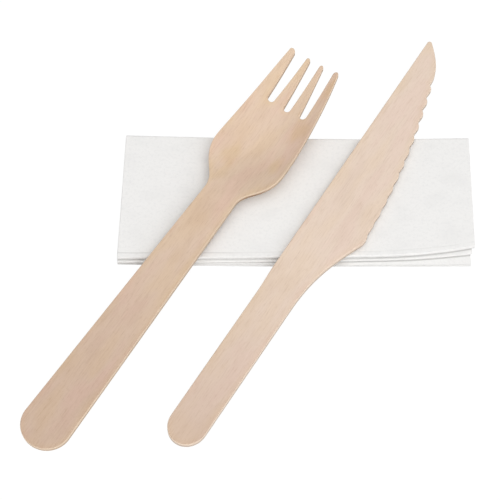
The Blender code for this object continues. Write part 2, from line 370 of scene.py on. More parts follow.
@dataclass(frozen=True)
class BirchFinish:
    """Bare, sanded birch veneer, with its grain along the piece, and painted light and shade on its cut edges.
    """

    slot: Slot
    tone: Colour
    handle_tone: Colour
    blush: Colour
    straw: Colour
    fibre: Colour
    pale: Colour
    # cut: the cut edge's lighter end-grain tone, partly painted light where its rounded top catches the lamps
    cut: Colour
    # pressed: the lower cut edge's colour, partly the press's scorch and partly painted shade under the edge
    pressed: Colour
    scorch_and_shade: Patch  # a scorch mark from the cutter and painted shade, darkening the lower part of the cut edge
    handle_end: float  # where along the piece the handle's tone gives way
    head_start: float
    patches: tuple[Patch, ...] = ()
    pattern: float = 0.0  # shifts all the piece's noise along X
    blotch: Cloud = Cloud((13 * MM, 5 * MM, 5 * MM), 2)
    hue: Cloud = Cloud((17 * MM, 6 * MM, 6 * MM), 1.5, offset=0.31)
    strands: Cloud = Cloud((6 * MM, 0.45 * MM, 0.5 * MM), 3, 0.6, 0.17)
    flecks: Cloud = Cloud((1.7 * MM, 0.36 * MM, 0.4 * MM), 1, offset=0.53)
    fray: Cloud = Cloud((5 * MM, 1.2 * MM, 1.2 * MM), 2)
    straw_range: Span = (0.48, 0.66)
    blush_range: Span = (0.52, 0.34)
    blotch_range: Span = (0.48, 0.7)
    blotch_share: float = 0.25
    strand_range: Span = (0.5, 0.72)
    strand_share: float = 0.5
    fleck_range: Span = (0.56, 0.7)
    fleck_share: float = 0.35
    pale_range: Span = (0.5, 0.3)
    border_band: Span = (2.4 * MM, 0.4 * MM)  # where the straw tone along the outline starts and is full
    cut_strand_range: Span = (0.45, 0.7)
    pressed_and_shaded_levels: Span = (0.75, 0.4)  # of the veneer's thickness, from the underside: where the darker lower edge, scorch and painted shade, starts and is full
    cut_range: Span = (0.35, 0.85)
    fray_share: float = 0.9
    stain_and_painted_light_range: Span = (1.0, 0.15)
    roughness: float = 0.62
    roughness_swing: float = 0.12
    fleck_relief: float = 0.3
    relief_strength: float = 0.22
    relief_height: float = 0.05 * MM
    specular: float = 0.3

    def make(self) -> bpy.types.Material:
        """Builds the material.

        Returns:
            The birch material.
        """
        made, board, shader = new_material(self.slot.value)
        along = board.node("SeparateXYZ", sockets={0: board.place()}, output="X")
        blotch = board.cloud(self.blotch, self.pattern)
        hue = board.cloud(self.hue, self.pattern)
        strands = board.cloud(self.strands, self.pattern)
        flecks = board.cloud(self.flecks, self.pattern)
        cut = board.attribute(Attribute.CUT)
        level = board.attribute(Attribute.LEVEL)
        inside = board.attribute(Attribute.INSIDE)

        headward = along.within(self.handle_end, self.head_start)
        surface = board.colour(self.handle_tone).mixed(self.tone, headward)
        surface = surface.tinted(self.straw, hue.within(*self.straw_range))
        surface = surface.tinted(self.blush, hue.within(*self.blush_range))
        surface = surface.tinted(self.fibre, self.blotch_share * blotch.within(*self.blotch_range))
        # Stains in the wood, and patches of painted light and painted shade on the fork's head.
        for patch in self.patches:
            surface = surface.tinted(patch.tint, self._stain_and_painted_light(board, patch))
        surface = surface.tinted(self.straw, inside.within(*self.border_band))
        streaks = self.strand_share * strands.within(*self.strand_range)
        streaks = streaks + self.fleck_share * flecks.within(*self.fleck_range)
        surface = surface.tinted(self.fibre, streaks).tinted(self.pale, strands.within(*self.pale_range))
        # The cut edge's lighter tone is end grain and partly painted light on its rounded top.
        cut_streaks = self.strand_share * strands.within(*self.cut_strand_range)
        edge = board.colour(self.cut).tinted(self.fibre, cut_streaks)
        # The lower part of the cut edge darkens: partly the press's scorch, partly painted shade under the edge.
        pressed = board.colour(self.pressed).tinted(self.scorch_and_shade.tint, self._stain_and_painted_light(board, self.scorch_and_shade))
        edge = edge.mixed(pressed, level.within(*self.pressed_and_shaded_levels))
        board.feed(shader.inputs["Base Color"], surface.mixed(edge, cut.within(*self.cut_range)))
        board.feed(shader.inputs["Roughness"], self.roughness + self.roughness_swing * (strands - 0.5))
        relief = strands * (1 - self.fleck_relief) + flecks * self.fleck_relief
        bump = {"Strength": self.relief_strength, "Distance": self.relief_height, "Height": relief}
        board.feed(shader.inputs["Normal"], board.node("Bump", sockets=bump))
        board.feed(shader.inputs["Specular IOR Level"], self.specular)
        return made

    def _stain_and_painted_light(self, board: Board, patch: Patch) -> Signal:
        """Returns how strongly a patch colours each point: a stain, painted light or painted shade.

        Args:
            board: The material's nodes.
            patch: The patch.

        Returns:
            Its share, 0 outside the patch.
        """
        moved = board.vector("ADD", board.place(), (-patch.along, -patch.across, 0.0))
        scaled = board.vector("MULTIPLY", moved, (1 / patch.length, 1 / patch.width, 0.0))
        away = board.node("VectorMath", {"operation": "LENGTH"}, {0: scaled}, "Value")
        ragged = away + self.fray_share * (board.cloud(self.fray, patch.along) - 0.5)
        return patch.strength * ragged.within(*self.stain_and_painted_light_range)


@dataclass(frozen=True)
class TissueFinish:
    """Soft white napkin tissue, with painted shade along its crimp, where its folds turn under and in front of
    its folds' edges.
    """

    slot: Slot
    tone: Colour
    shade: Colour
    # the painted shade colour of the crimp, the folds' undersides and the lines under the folds' edges
    crevice_shade: Colour
    crimp_behind: float  # from the top fold's edge
    crimp_width: float
    shadow_line_ahead: float  # of a fold's edge, where its painted shadow falls on the layer below
    shadow_line_width: float
    crepe: Cloud = Cloud((0.9 * MM, 0.9 * MM, 0.9 * MM), 3, 0.6)
    crepe_range: Span = (0.45, 0.7)
    crepe_share: float = 0.55
    crepe_relief: float = 0.6
    veil: Cloud = Cloud((9 * MM, 6 * MM, 6 * MM), 2)
    veil_range: Span = (0.45, 0.75)
    veil_share: float = 0.4
    cockle: Cloud = Cloud((4 * MM, 4 * MM, 4 * MM), 2)
    cockle_relief: float = 0.8
    waver: Cloud = Cloud((22 * MM, 22 * MM, 22 * MM), 1)
    waver_width: float = 0.9 * MM
    breaks: Cloud = Cloud((14 * MM, 40 * MM, 40 * MM), 1, offset=0.4)
    breaks_range: Span = (0.36, 0.5)
    crimp_shade_share: float = 0.6
    crimp_fade: float = 0.4  # taken off the crimp's painted shade where the folds lie open
    crimp_relief: float = 0.7
    top_fold_shadow_levels: Span = (0.5, 0.49)  # of the stack's height, from the underside
    top_fold_shadow_share: float = 0.6
    second_fold_shadow_levels: Span = (0.25, 0.24)
    tucked_shade_range: Span = (0.0, 0.25)
    relief_strength: float = 0.35
    relief_height: float = 0.08 * MM
    roughness: float = 0.95
    specular: float = 0.08

    def make(self) -> bpy.types.Material:
        """Builds the material.

        Returns:
            The tissue material.
        """
        made, board, shader = new_material(self.slot.value)
        crepe = board.cloud(self.crepe)
        level = board.attribute(Attribute.LEVEL)
        opened = board.attribute(Attribute.OPENED)
        tucked = board.attribute(Attribute.TUCKED)
        behind_top = board.attribute(Attribute.BEHIND_TOP)
        behind_second = board.attribute(Attribute.BEHIND_SECOND)
        waver = self.waver_width * (board.cloud(self.waver) - 0.5)
        broken = board.cloud(self.breaks).within(*self.breaks_range)
        # The embossed crimp line, with painted shade in its groove.
        crimp = self._line(behind_top + waver - self.crimp_behind, self.crimp_width) * broken
        # Painted shadow lines on the layers just in front of the top and second folds' edges.
        top_fold_shadow = self._line(behind_top + self.shadow_line_ahead, self.shadow_line_width)
        top_fold_shadow = self.top_fold_shadow_share * top_fold_shadow * level.within(*self.top_fold_shadow_levels)
        second_fold_shadow = self._line(behind_second + self.shadow_line_ahead, self.shadow_line_width)
        second_fold_shadow = second_fold_shadow * level.within(*self.second_fold_shadow_levels)
        surface = board.colour(self.tone)
        surface = surface.mixed(self.shade, self.crepe_share * crepe.within(*self.crepe_range))
        surface = surface.mixed(self.shade, self.veil_share * board.cloud(self.veil).within(*self.veil_range))
        surface = surface.mixed(self.crevice_shade, crimp * (self.crimp_shade_share - self.crimp_fade * opened))
        # Painted shade where the folds turn under.
        surface = surface.mixed(self.crevice_shade, tucked.within(*self.tucked_shade_range))
        surface = surface.mixed(self.crevice_shade, opened * (top_fold_shadow + second_fold_shadow))
        board.feed(shader.inputs["Base Color"], surface)
        height = crepe * self.crepe_relief + board.cloud(self.cockle) * self.cockle_relief
        height = height - crimp * self.crimp_relief
        bump = {"Strength": self.relief_strength, "Distance": self.relief_height, "Height": height}
        board.feed(shader.inputs["Normal"], board.node("Bump", sockets=bump))
        board.feed(shader.inputs["Roughness"], self.roughness)
        board.feed(shader.inputs["Specular IOR Level"], self.specular)
        return made

    @staticmethod
    def _line(away: Signal, width: float) -> Signal:
        """Draws a soft line where a distance is 0."""
        return away.board.node("Math", {"operation": "ABSOLUTE"}, {0: away}).within(width, 0.0)


def link(name: str, data: bpy.types.ID) -> bpy.types.Object:
    """Adds a mesh, a light or a camera to the scene."""
    made = bpy.data.objects.new(name, data)
    bpy.context.scene.collection.objects.link(made)
    return made


def new_mesh(
    name: str,
    points: Sequence[Sequence[float]],
    faces: Sequence[Sequence[int]],
    places: Sequence[Sequence[float]],
    numbers: Mapping[Attribute, Sequence[float]],
) -> bpy.types.Mesh:
    """Makes a smooth mesh that tells its material about each point.

    Args:
        name: Its name.
        points: Its points, in the frame's own coordinates.
        faces: Its faces, each by its points' order in that list.
        places: Each point's place in the flat blank or the unfolded sheet.
        numbers: One number a point, by name.

    Returns:
        The mesh.
    """
    made = bpy.data.meshes.new(name)
    made.from_pydata(points, [], faces)
    made.shade_smooth()
    own = made.attributes.new(Attribute.OWN_PLACE.value, "FLOAT_VECTOR", "POINT")
    own.data.foreach_set("vector", np.asarray(places, np.float32).ravel())
    for number, values in numbers.items():
        told = made.attributes.new(number.value, "FLOAT", "POINT")
        told.data.foreach_set("value", np.asarray(values, np.float32))
    return made


def show_piece(
    name: str, mesh: bpy.types.Mesh, finish: bpy.types.Material, node: Node
) -> bpy.types.Object:
    """Adds a piece of the object to the scene, in the place of its solid.

    Args:
        name: Its name.
        mesh: Its mesh.
        finish: Its material.
        node: The solid that it replaces.

    Returns:
        The new object.
    """
    piece = link(name, mesh)
    mesh.materials.append(finish)
    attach(piece, "root")
    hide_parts(node.value)
    log.info("%s: %d faces", piece.name, len(mesh.polygons))
    return piece


def runs_of(loop: np.ndarray) -> np.ndarray:
    """Returns the step from each point of a closed outline to the next."""
    return np.roll(loop, -1, axis=0) - loop


def gap_to(spot: np.ndarray, loop: np.ndarray, runs: np.ndarray) -> float:
    """Returns a point's distance from a closed outline."""
    share = np.clip(np.sum((spot - loop) * runs, axis=1) / np.sum(runs * runs, axis=1), 0, 1)
    return float(np.linalg.norm(loop + share[:, None] * runs - spot, axis=1).min())


@dataclass
class VeneerPiece:
    """A piece stamped from veneer: an outline, two faces and a cut edge with rounded corners."""

    thickness: float = 2.0 * MM
    edge_round: float = 0.32 * MM
    round_steps: int = 4
    net: float = 1.2 * MM
    net_clearance: float = 0.55  # of the net's step, from the border
    rest_height: float = field(default_factory=lambda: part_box(Node.KNIFE.value)[0].z)
    node: Node = Node.KNIFE
    slot: Slot = Slot.KNIFE_WOOD

    def outline(self) -> list[Vector]:
        """Returns the closed outline of the flat blank, running either way."""
        raise NotImplementedError

    def seat(self) -> Matrix:
        """Returns where the blank's own axes lie."""
        raise NotImplementedError

    def lift(self, along: float, across: float) -> float:
        """Returns how far the press moves a point up; a flat piece isn't pressed."""
        return 0.0

    def _rim(self) -> list[tuple[float, float, float]]:
        """Steps round the cut edge's section, from the underside to the top.

        Returns:
            For each ring its inset from the outline, its height and its normal's angle in degrees.
        """
        turns = [90 * i / self.round_steps for i in range(self.round_steps + 1)]
        rim = []
        for turn in turns:
            rise = self.edge_round * (1 - math.cos(math.radians(turn)))
            inset = self.edge_round * (1 - math.sin(math.radians(turn)))
            rim.append((inset, rise, turn - 90))
        return rim + [(inset, self.thickness - rise, -turn) for inset, rise, turn in reversed(rim)]

    def _evened(self) -> np.ndarray:
        """Returns the outline counter-clockwise, with no run longer than the net's step."""
        points = np.array([tuple(p) for p in self.outline()])
        following = np.roll(points, -1, axis=0)
        if np.sum(points[:, 0] * following[:, 1] - following[:, 0] * points[:, 1]) < 0:
            points = points[::-1]
        evened = []
        for here, run in zip(points, runs_of(points)):
            parts = max(1, math.ceil(np.linalg.norm(run) / self.net))
            evened += [here + run * i / parts for i in range(parts)]
        return np.array(evened)

    @staticmethod
    def _outward(points: np.ndarray) -> tuple[np.ndarray, np.ndarray]:
        """Finds which way is out at each point of an outline.

        Args:
            points: The outline, counter-clockwise.

        Returns:
            The unit normals, and the vectors that keep an even inset at the corners.
        """
        runs = runs_of(points)
        runs /= np.linalg.norm(runs, axis=1)[:, None]
        after = np.stack([runs[:, 1], -runs[:, 0]], axis=1)
        before = np.roll(after, 1, axis=0)
        both = before + after
        normals = both / np.linalg.norm(both, axis=1)[:, None]
        mitres = both / (1 + np.sum(before * after, axis=1))[:, None]
        return normals, mitres

    def _inner_points(self, loop: np.ndarray) -> np.ndarray:
        """Lays a net of points on the face, clear of its border.

        Args:
            loop: The face's border.

        Returns:
            The net's points.
        """
        low, high = loop.min(axis=0), loop.max(axis=0)
        along = np.arange(low[0], high[0], self.net)
        across = np.arange(low[1], high[1], self.net)
        ends, runs = np.roll(loop, -1, axis=0), runs_of(loop)
        kept = []
        for spot in np.array([(x, y) for x in along for y in across]):
            crossing = (loop[:, 1] > spot[1]) != (ends[:, 1] > spot[1])
            rise = np.where(crossing, runs[:, 1], 1.0)
            meets = loop[:, 0] + (spot[1] - loop[:, 1]) * runs[:, 0] / rise
            inside = np.count_nonzero(crossing & (meets > spot[0])) % 2 == 1
            if inside and gap_to(spot, loop, runs) > self.net * self.net_clearance:
                kept.append(spot)
        return np.array(kept)

    def mesh(self) -> bpy.types.Mesh:
        """Builds the blank with its rings round the edge and a net on both faces, and presses it.

        Returns:
            The mesh, with its own normals and the numbers for its material.
        """
        border = self._evened()
        normals, mitres = self._outward(border)
        count = len(border)
        points, facing, cut = [], [], []
        for inset, height, turn in self._rim():
            level, up = math.cos(math.radians(turn)), math.sin(math.radians(turn))
            for spot, normal, mitre in zip(border, normals, mitres):
                points.append((*(spot - mitre * inset), height))
                facing.append((normal[0] * level, normal[1] * level, up))
                cut.append(level)
        rings = len(points) // count
        faces = []
        for ring in range(rings - 1):
            for i in range(count):
                j = (i + 1) % count
                low, high = ring * count, (ring + 1) * count
                faces.append((low + i, low + j, high + j, high + i))
        loop = np.array([p[:2] for p in points[-count:]])
        inner = self._inner_points(loop)
        flat = [Vector(p) / MM for p in np.vstack([loop, inner])]
        edges = [(i, (i + 1) % count) for i in range(count)]
        _, _, tiles, sources, _, _ = delaunay_2d_cdt(flat, edges, [], INSIDE_ONLY, NET_TOLERANCE)
        origins = [source[0] for source in sources]
        for height, up, first in ((0.0, -1.0, 0), (self.thickness, 1.0, (rings - 1) * count)):
            start = len(points)
            points += [(*p, height) for p in inner]
            facing += [(0.0, 0.0, up)] * len(inner)
            cut += [0.0] * len(inner)
            spots = [first + i if i < count else start + i - count for i in origins]
            for tile in tiles:
                corners = [spots[i] for i in tile]
                faces.append(tuple(corners if up > 0 else corners[::-1]))
        seat, runs = self.seat(), runs_of(border)
        pressed = [seat @ Vector((x, y, z + self.lift(x, y))) for x, y, z in points]
        numbers = {
            Attribute.CUT: cut,
            Attribute.LEVEL: [z / self.thickness for _, _, z in points],
            Attribute.INSIDE: [gap_to(np.array(point[:2]), border, runs) for point in points],
        }
        made = new_mesh(self.node.value + "_wood", pressed, faces, points, numbers)
        turn = seat.to_3x3()
        tilted = [turn @ normal for normal in self._pressed_normals(points, facing)]
        made.normals_split_custom_set_from_vertices(tilted)
        return made

    def _pressed_normals(self, points: Sequence[tuple], facing: Sequence[tuple]) -> list[Vector]:
        """Tilts the blank's normals as the press tilts its surface.

        Args:
            points: The blank's points.
            facing: Its normals.

        Returns:
            The pressed surface's normals.
        """
        near = 0.05 * MM
        tilted = []
        for (x, y, _), (nx, ny, nz) in zip(points, facing):
            slope_along = (self.lift(x + near, y) - self.lift(x - near, y)) / (2 * near)
            slope_across = (self.lift(x, y + near) - self.lift(x, y - near)) / (2 * near)
            tilted.append(Vector((nx - nz * slope_along, ny - nz * slope_across, nz)).normalized())
        return tilted

    def build(self, finish: BirchFinish) -> bpy.types.Object:
        """Makes the piece, dresses it and puts it in its solid's place.

        Args:
            finish: Its birch.

        Returns:
            The piece.
        """
        return show_piece(self.node.value + "_birch", self.mesh(), finish.make(), self.node)


@dataclass
class Fork(VeneerPiece):
    """The fork: a flat handle, a neck and a head that is pressed into a dish with four tines."""

    node: Node = Node.FORK
    slot: Slot = Slot.FORK_WOOD
    cap: float = 7.6 * MM
    end_half: float = 7.9 * MM
    handle: float = 97.0 * MM
    neck_half: float = 5.72 * MM
    head: float = 54.6 * MM
    flare: float = 16.7 * MM
    head_half: float = 12.95 * MM
    slot_length: float = 17.8 * MM
    slot_radius: float = 1.15 * MM
    slot_spacing: float = 6.1 * MM
    inner_tip_middle: float = 2.5 * MM
    inner_tip_radius: float = 0.7 * MM
    outer_tip_setback: float = 0.3 * MM
    outer_tip_spread: float = 2.15 * MM
    outer_tip_radius: float = 0.95 * MM
    neck_reach: float = 0.36
    shoulder_reach: float = 0.53
    head_side_reach: float = 0.16
    outer_tip_reach: float = 0.27
    outer_tip_slope: float = -0.19
    dip_lead: float = 1.0 * MM
    dip_run: float = 20.4 * MM
    dip_depth: float = 3.9 * MM
    tine_rise: float = 7.45 * MM
    cup_depth: float = 4.4 * MM
    seat_along: float = -13.38 * MM
    seat_inset: float = 8.37 * MM
    turn: float = math.radians(56.6)
    curve_steps: int = 26
    tip_steps: int = 12
    pitch_steps: int = 400
    pitch_rounds: int = 8

    @property
    def length(self) -> float:
        """The flat blank's length."""
        return self.handle + self.head

    @property
    def dip_start(self) -> float:
        """Where along the fork the dish starts."""
        return self.handle - self.dip_lead

    @property
    def dip_bottom(self) -> float:
        """Where along the fork the dish is lowest."""
        return self.dip_start + self.dip_run

    def outline(self) -> list[Vector]:
        """Draws the handle's cap, the neck, the head's side, the tines and the slots.

        Returns:
            The closed outline.
        """
        cap = oval(Vector((self.cap, 0)), self.cap, self.end_half, 180, 90, self.curve_steps)
        neck = Vector((self.handle, self.neck_half))
        widest = Vector((self.handle + self.flare, self.head_half))
        leaving = reach(self.neck_reach * self.flare)
        shoulder = bend(neck, leaving, reach(self.shoulder_reach * self.flare), widest, self.curve_steps)
        outer_end = self.length - self.outer_tip_setback - self.outer_tip_radius
        outer_middle = Vector((outer_end, self.slot_spacing + self.outer_tip_spread))
        outer_tip = arc(outer_middle, self.outer_tip_radius, 90, -90, self.tip_steps)
        run = outer_end - widest.x
        arriving = reach(self.outer_tip_reach * run, self.outer_tip_slope)
        side = bend(widest, reach(self.head_side_reach * run), arriving, outer_tip[0], self.curve_steps)
        slot_end = self.length - self.slot_length + self.slot_radius
        side_slot = arc(Vector((slot_end, self.slot_spacing)), self.slot_radius, 90, 270, self.tip_steps)
        inner_middle = Vector((self.length - self.inner_tip_radius, self.inner_tip_middle))
        inner_tip = arc(inner_middle, self.inner_tip_radius, 90, -90, self.tip_steps)
        middle_slot = arc(Vector((slot_end, 0)), self.slot_radius, 90, 180, self.tip_steps // 2)
        half = cap + [neck] + shoulder + side + outer_tip[1:] + side_slot + inner_tip + middle_slot
        return mirrored(half)

    def lift(self, along: float, across: float) -> float:
        """Returns how far the press moves a point of the flat fork up.

        Args:
            along: The point's place along the fork.
            across: Its place across it.

        Returns:
            The lift, negative in the dish.
        """
        into = ease((along - self.dip_start) / self.dip_run)
        up = max(0.0, (along - self.dip_bottom) / (self.length - self.dip_bottom))
        cup = self.cup_depth * into * (across / self.head_half) ** 2
        return self.tine_rise * up**2 - self.dip_depth * into + cup

    def pitch(self) -> float:
        """Returns the handle's slope, with the dish on the napkin and the handle's end on the table."""
        run, steps = self.length - self.dip_start, self.pitch_steps
        places = [self.dip_start + run * i / steps for i in range(steps + 1)]
        slope = 0.0
        for _ in range(self.pitch_rounds):
            rises = [(self.rest_height - self.lift(x, 0) * math.cos(slope)) / x for x in places]
            slope = math.asin(max(rises))
        return slope

    def seat(self) -> Matrix:
        """Returns where the fork's axes lie: its dish over its seat, sloping down to the handle."""
        slope = self.pitch()
        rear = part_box(Node.NAPKIN.value)[1].y
        under_dish = Vector((self.seat_along, rear - self.seat_inset, 0))
        start = under_dish - self.dip_bottom * math.cos(slope) * heading(self.turn)
        turned = Matrix.Rotation(self.turn, 4, "Z") @ Matrix.Rotation(-slope, 4, "Y")
        return Matrix.Translation(start) @ turned


@dataclass
class Knife(VeneerPiece):
    """The knife: a flat blank with a swelling blade and a row of shallow leaning teeth."""

    node: Node = Node.KNIFE
    slot: Slot = Slot.KNIFE_WOOD
    cap: float = 6.5 * MM
    handle: float = 53.5 * MM
    handle_half: float = 5.9 * MM
    swell: float = 30.5 * MM
    heel_half: float = 12.75 * MM
    heel_round: float = 4.7 * MM
    heel_round_rise: float = 0.2 * MM
    toothed_length: float = 58.6 * MM
    last_notch_half: float = 2.1 * MM
    belly_length: float = 14.9 * MM
    tip_radius: float = 0.8 * MM
    tip_turn: float = 42
    tip_spine_half: float = 6.7 * MM
    spine_half: float = 6.25 * MM
    waist_length: float = 10.7 * MM
    grip_reach: float = 0.41
    heel_reach: float = 0.36
    heel_slope: float = -0.42
    heel_round_reach: float = 0.25
    waist_reach: float = 0.4
    belly_start_reach: float = 0.36
    belly_start_slope: float = -0.06
    belly_end_reach: float = 0.3
    belly_end_slope: float = 0.93
    tooth_pitch: float = 4.9 * MM
    first_tooth_depth: float = 0.2 * MM
    last_tooth_depth: float = 0.8 * MM
    tooth_lean: float = 0.63
    edge_slope_at_heel: float = 0.05
    edge_slope_at_belly: float = 0.285
    seat_along: float = 8.57 * MM
    seat_inset: float = 11.72 * MM
    turn: float = math.radians(58.6)
    curve_steps: int = 26
    tooth_steps: int = 12
    tip_steps: int = 10

    def _tooth_wave(self, share: float) -> float:
        """Returns a leaning wave, 0 at both notches and 1 at the crest."""
        if share < self.tooth_lean:
            turn = share / (2 * self.tooth_lean)
        else:
            turn = 0.5 + (share - self.tooth_lean) / (2 - 2 * self.tooth_lean)
        return 0.5 - 0.5 * math.cos(2 * math.pi * turn)

    def _toothed_edge(self, first: Vector, last: Vector) -> list[Vector]:
        """Draws the cutting edge after its first notch.

        Args:
            first: The first notch.
            last: The last notch.

        Returns:
            The edge's points, with the last notch.
        """
        steps = self.tooth_steps * round(self.toothed_length / self.tooth_pitch)
        leaving = reach(self.toothed_length / 3, self.edge_slope_at_heel)
        arriving = reach(self.toothed_length / 3, self.edge_slope_at_belly)
        line = [first] + bend(first, leaving, arriving, last, steps)
        points = []
        for i in range(1, steps):
            along = line[i + 1] - line[i - 1]
            outward = Vector((along.y, -along.x)).normalized()
            depth = self.first_tooth_depth + (self.last_tooth_depth - self.first_tooth_depth) * i / steps
            wave = self._tooth_wave(i % self.tooth_steps / self.tooth_steps)
            points.append(line[i] + depth * wave * outward)
        return points + [last]

    def outline(self) -> list[Vector]:
        """Draws the handle, the heel, the teeth, the belly, the tip and the spine.

        Returns:
            The closed outline.
        """
        middle = Vector((self.cap, 0))
        handle_end = oval(middle, self.cap, self.handle_half, 90, 270, 2 * self.curve_steps)
        grip = Vector((self.handle, -self.handle_half))
        heel = Vector((self.handle + self.swell, -self.heel_half))
        arriving = reach(self.heel_reach * self.swell, self.heel_slope)
        swell = bend(grip, reach(self.grip_reach * self.swell), arriving, heel, self.curve_steps)
        first = heel + Vector((self.heel_round, self.heel_round_rise))
        round_reach = self.heel_round_reach * self.heel_round
        arriving = reach(2 * round_reach, -self.heel_slope)
        heel_round = bend(heel, reach(round_reach, self.heel_slope), arriving, first, self.tip_steps)
        last = Vector((first.x + self.toothed_length, -self.last_notch_half))
        tip = Vector((last.x + self.belly_length - self.tip_radius, self.tip_spine_half - self.tip_radius))
        tip_round = arc(tip, self.tip_radius, -self.tip_turn, 90, self.tip_steps)
        leaving = reach(self.belly_start_reach * self.belly_length, self.belly_start_slope)
        arriving = reach(self.belly_end_reach * self.belly_length, self.belly_end_slope)
        belly = bend(last, leaving, arriving, tip_round[0], self.curve_steps)
        spine = Vector((self.handle + self.waist_length, self.spine_half))
        waist_reach = reach(-self.waist_reach * self.waist_length)
        waist_end = Vector((self.handle, self.handle_half))
        waist = bend(spine, waist_reach, waist_reach, waist_end, self.curve_steps)
        edge = handle_end + [grip] + swell + heel_round + self._toothed_edge(first, last)
        return edge + belly + tip_round[1:] + [spine] + waist

    def seat(self) -> Matrix:
        """Returns where the knife's axes lie: its heel over its seat, level on the napkin."""
        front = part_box(Node.NAPKIN.value)[0].y
        under_heel = Vector((self.seat_along, front + self.seat_inset, self.rest_height))
        start = under_heel - (self.handle + self.swell) * heading(self.turn)
        return Matrix.Translation(start) @ Matrix.Rotation(self.turn, 4, "Z")


@dataclass
class Napkin:
    """The napkin: one sheet of tissue, folded in thirds along X and then in half three times."""

    flat: float = 330.0 * MM
    tissue: float = 0.07 * MM
    thirds: int = 3
    layer_order: tuple[int, ...] = (0, 7, 4, 3, 2, 5, 6, 1)
    top_fold_layers: int = 4
    second_fold_layers: int = 2
    slip: float = 1.25 * MM  # how far the lower layers stay behind the top ones at the right-hand end
    slip_below: float = 0.62  # of the stack's height
    slip_run: float = 0.25
    left_rear: float = -0.2 * MM  # how far the left-hand end leans out at the rear
    left_front: float = 0.5 * MM
    right_front: float = 0.2 * MM
    rear_bow: float = 3.3 * MM  # how far the rear edge curves, for a run of the napkin's whole length
    rear_bow_middle: float = 0.48
    rear_bow_level: float = 0.136
    crease: float = 0.45  # how flat the folds are pressed, 1 for a round fold
    rim: float = 0.08 * MM  # a short first run at free edges and folds, which keeps their shading crisp
    edge_bow: float = 0.72 * MM
    edge_bow_start: float = 0.32
    free_edge_step: float = 0.25 * MM
    second_fold_setback: float = 0.02 * MM
    second_fold_skew: float = 2.05 * MM
    second_fold_curl: float = 1.4 * MM
    top_fold_setback: float = 0.72 * MM
    top_fold_skew: float = 2.2 * MM
    top_fold_curl: float = 2.4 * MM
    curl_start: float = 0.72
    curl_power: float = 2.2
    opening_start: float = 0.42
    opening_run: float = 0.3
    third_short: float = 0.15 * MM
    puff: float = 0.03  # of the height
    puff_level: float = 0.35
    puff_seed: float = 7.7
    sway: float = 0.12 * MM
    sway_length: float = 17.0 * MM
    sway_rise: float = 1.3
    sway_seed: float = 4.2
    run_steps: int = 14
    fold_steps: int = 10
    third_steps: int = 34
    numbers: tuple[Attribute, ...] = (
        Attribute.BEHIND_TOP,
        Attribute.BEHIND_SECOND,
        Attribute.LEVEL,
        Attribute.OPENED,
        Attribute.TUCKED,
    )
    low: Vector = field(default_factory=lambda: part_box(Node.NAPKIN.value)[0])
    high: Vector = field(default_factory=lambda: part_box(Node.NAPKIN.value)[1])

    @property
    def depth(self) -> float:
        """The folded napkin's size along Y."""
        return self.high.y - self.low.y

    @property
    def sheet_pitch(self) -> float:
        """The distance between neighbouring thicknesses of tissue."""
        return (self.high.z - self.tissue) / (self.thirds * len(self.layer_order) - 1)

    def _layer_height(self, layer: float) -> float:
        """Returns the height of a layer's middle sheet; a half number lies between two layers."""
        return self.tissue / 2 + self.sheet_pitch * (1 + self.thirds * layer)

    def _front_lines(self, share: float) -> tuple[float, float, float]:
        """Finds where the folds end at the front.

        Args:
            share: The place along the napkin, from 0 to 1.

        Returns:
            The free edges, the second fold and the top fold, along Y.
        """
        bow = self.edge_bow * ((share - self.edge_bow_start) / (1 - self.edge_bow_start)) ** 2
        free = bow - self.depth / 2
        curled = max(0.0, (share - self.curl_start) / (1 - self.curl_start)) ** self.curl_power
        second = self.second_fold_setback + self.second_fold_skew * share + self.second_fold_curl * curled
        top = self.top_fold_setback + self.top_fold_skew * share + self.top_fold_curl * curled
        return free, free + second, free + top

    def _section(self, share: float) -> tuple[np.ndarray, np.ndarray]:
        """Runs one strip through all the layers.

        Args:
            share: The place along the napkin, from 0 to 1.

        Returns:
            The strip's middle line in Y and Z, and its normals.
        """
        free, second, top = self._front_lines(share)
        layers = len(self.layer_order)
        proud = self.sheet_pitch + self.tissue / 2
        layer_pitch = self.thirds * self.sheet_pitch
        points, normals = [], []
        start = Vector((free, self._layer_height(self.layer_order[0])))
        for i, (here, there) in enumerate(zip(self.layer_order, self.layer_order[1:])):
            between = (here + there) / 2
            radius = abs(there - between) * layer_pitch
            side = 1 if i % 2 == 0 else -1
            if side > 0:
                nose, nested = self.depth / 2 - proud, layers
            elif between > layers / 2:
                nose, nested = top + proud, self.top_fold_layers
            else:
                nose, nested = second + proud, self.second_fold_layers
            place = nose - side * ((nested - 1) / 2 * layer_pitch - (1 - self.crease) * radius)
            rising = 1 if there > here else -1
            fold_start = Vector((place, self._layer_height(here)))
            for spot in self._run(start, fold_start)[:-1]:
                points.append(spot)
                normals.append(Vector((0, side)))
            centre = Vector((place, self._layer_height(between)))
            for step in range(self.fold_steps):
                turn = math.pi * (step / self.fold_steps - 0.5) * rising
                points.append(centre + radius * Vector((side * self.crease * math.cos(turn), math.sin(turn))))
                out = Vector((side * math.cos(turn), self.crease * math.sin(turn))).normalized()
                normals.append(-side * rising * out)
            start = Vector((place, self._layer_height(there)))
        end = Vector((free + self.free_edge_step, self._layer_height(self.layer_order[-1])))
        for spot in self._run(start, end):
            points.append(spot)
            normals.append(Vector((0, -1)))
        return np.array([tuple(p) for p in points]), np.array([tuple(n) for n in normals])

    def _run(self, start: Vector, end: Vector) -> list[Vector]:
        """Steps a straight stretch of sheet, with a short first and last step."""
        rim = self.rim * (end - start).normalized()
        low, high = start + rim, end - rim
        return [start] + [low.lerp(high, i / self.run_steps) for i in range(self.run_steps + 1)] + [end]

